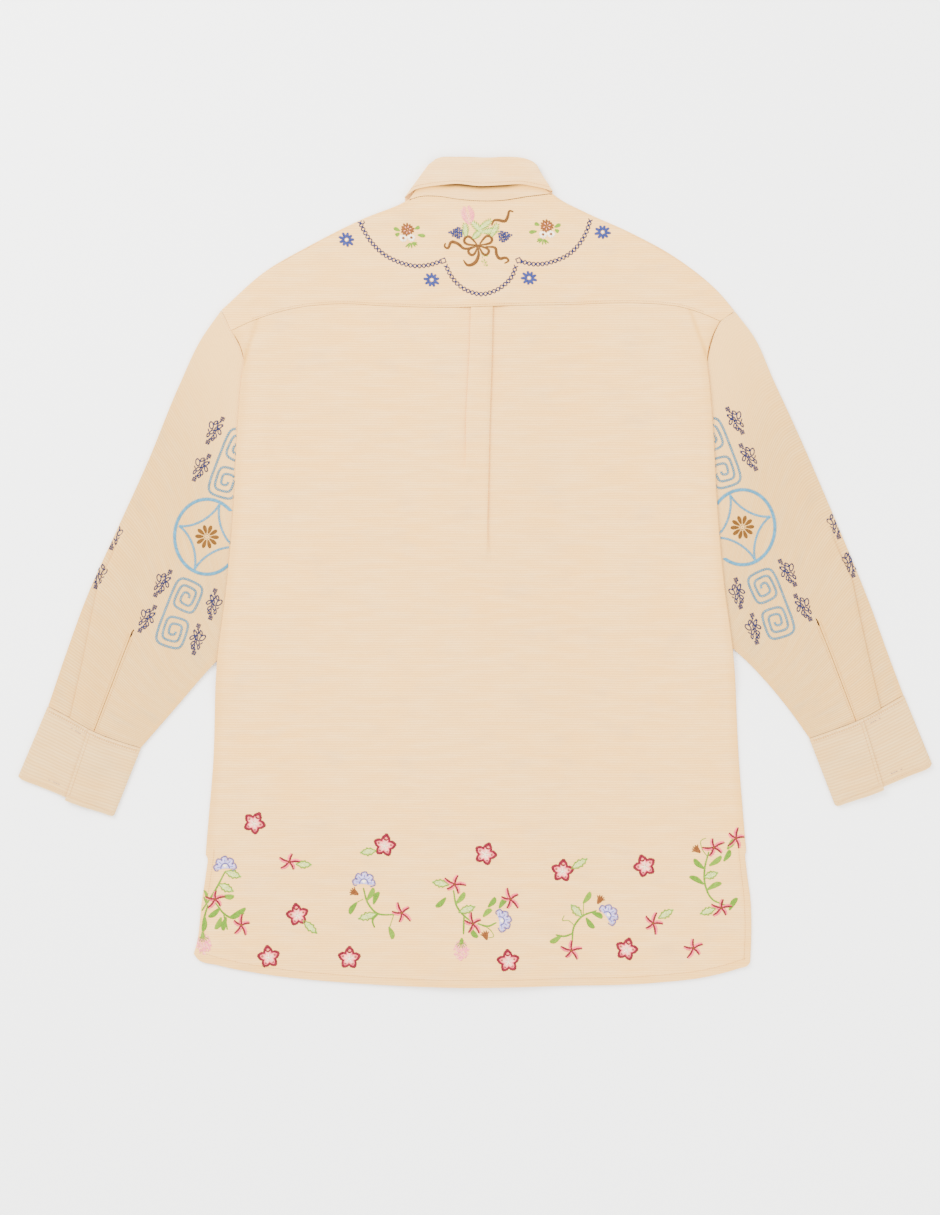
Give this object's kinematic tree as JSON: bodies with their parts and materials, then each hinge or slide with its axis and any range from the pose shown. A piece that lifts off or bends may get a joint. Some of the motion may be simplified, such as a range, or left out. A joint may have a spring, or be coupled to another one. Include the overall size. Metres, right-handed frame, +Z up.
{
  "type": "long-sleeve shirt laid flat",
  "caption": "Loose cream long-sleeve shirt with collar, yoke, box pleat and cuffs, lying flat on its front with its back up.",
  "frame": {"origin": "centre of the box round the shirt, at the surface it lies on", "axes": "+X to the right of the back as seen from above, across the spread sleeves; +Y towards the collar; +Z up, away from the surface"},
  "size_m": [0.986, 0.8958, 0.01],
  "materials": {
    "cloth": "matte",
    "band_cloth": "matte",
    "shell_button": "satin"
  },
  "bodies": {
    "root": {"back_panel": "cloth", "yoke": "cloth", "front_left": "cloth", "front_right": "cloth", "sleeve_left": "cloth", "sleeve_right": "cloth", "collar_stand": "band_cloth", "collar_fall": "band_cloth", "cuff_left": "band_cloth", "cuff_right": "band_cloth", "button_1": "shell_button", "button_2": "shell_button", "button_3": "shell_button", "button_4": "shell_button", "button_5": "shell_button", "button_6": "shell_button", "button_7": "shell_button"}
  },
  "joints": []
}
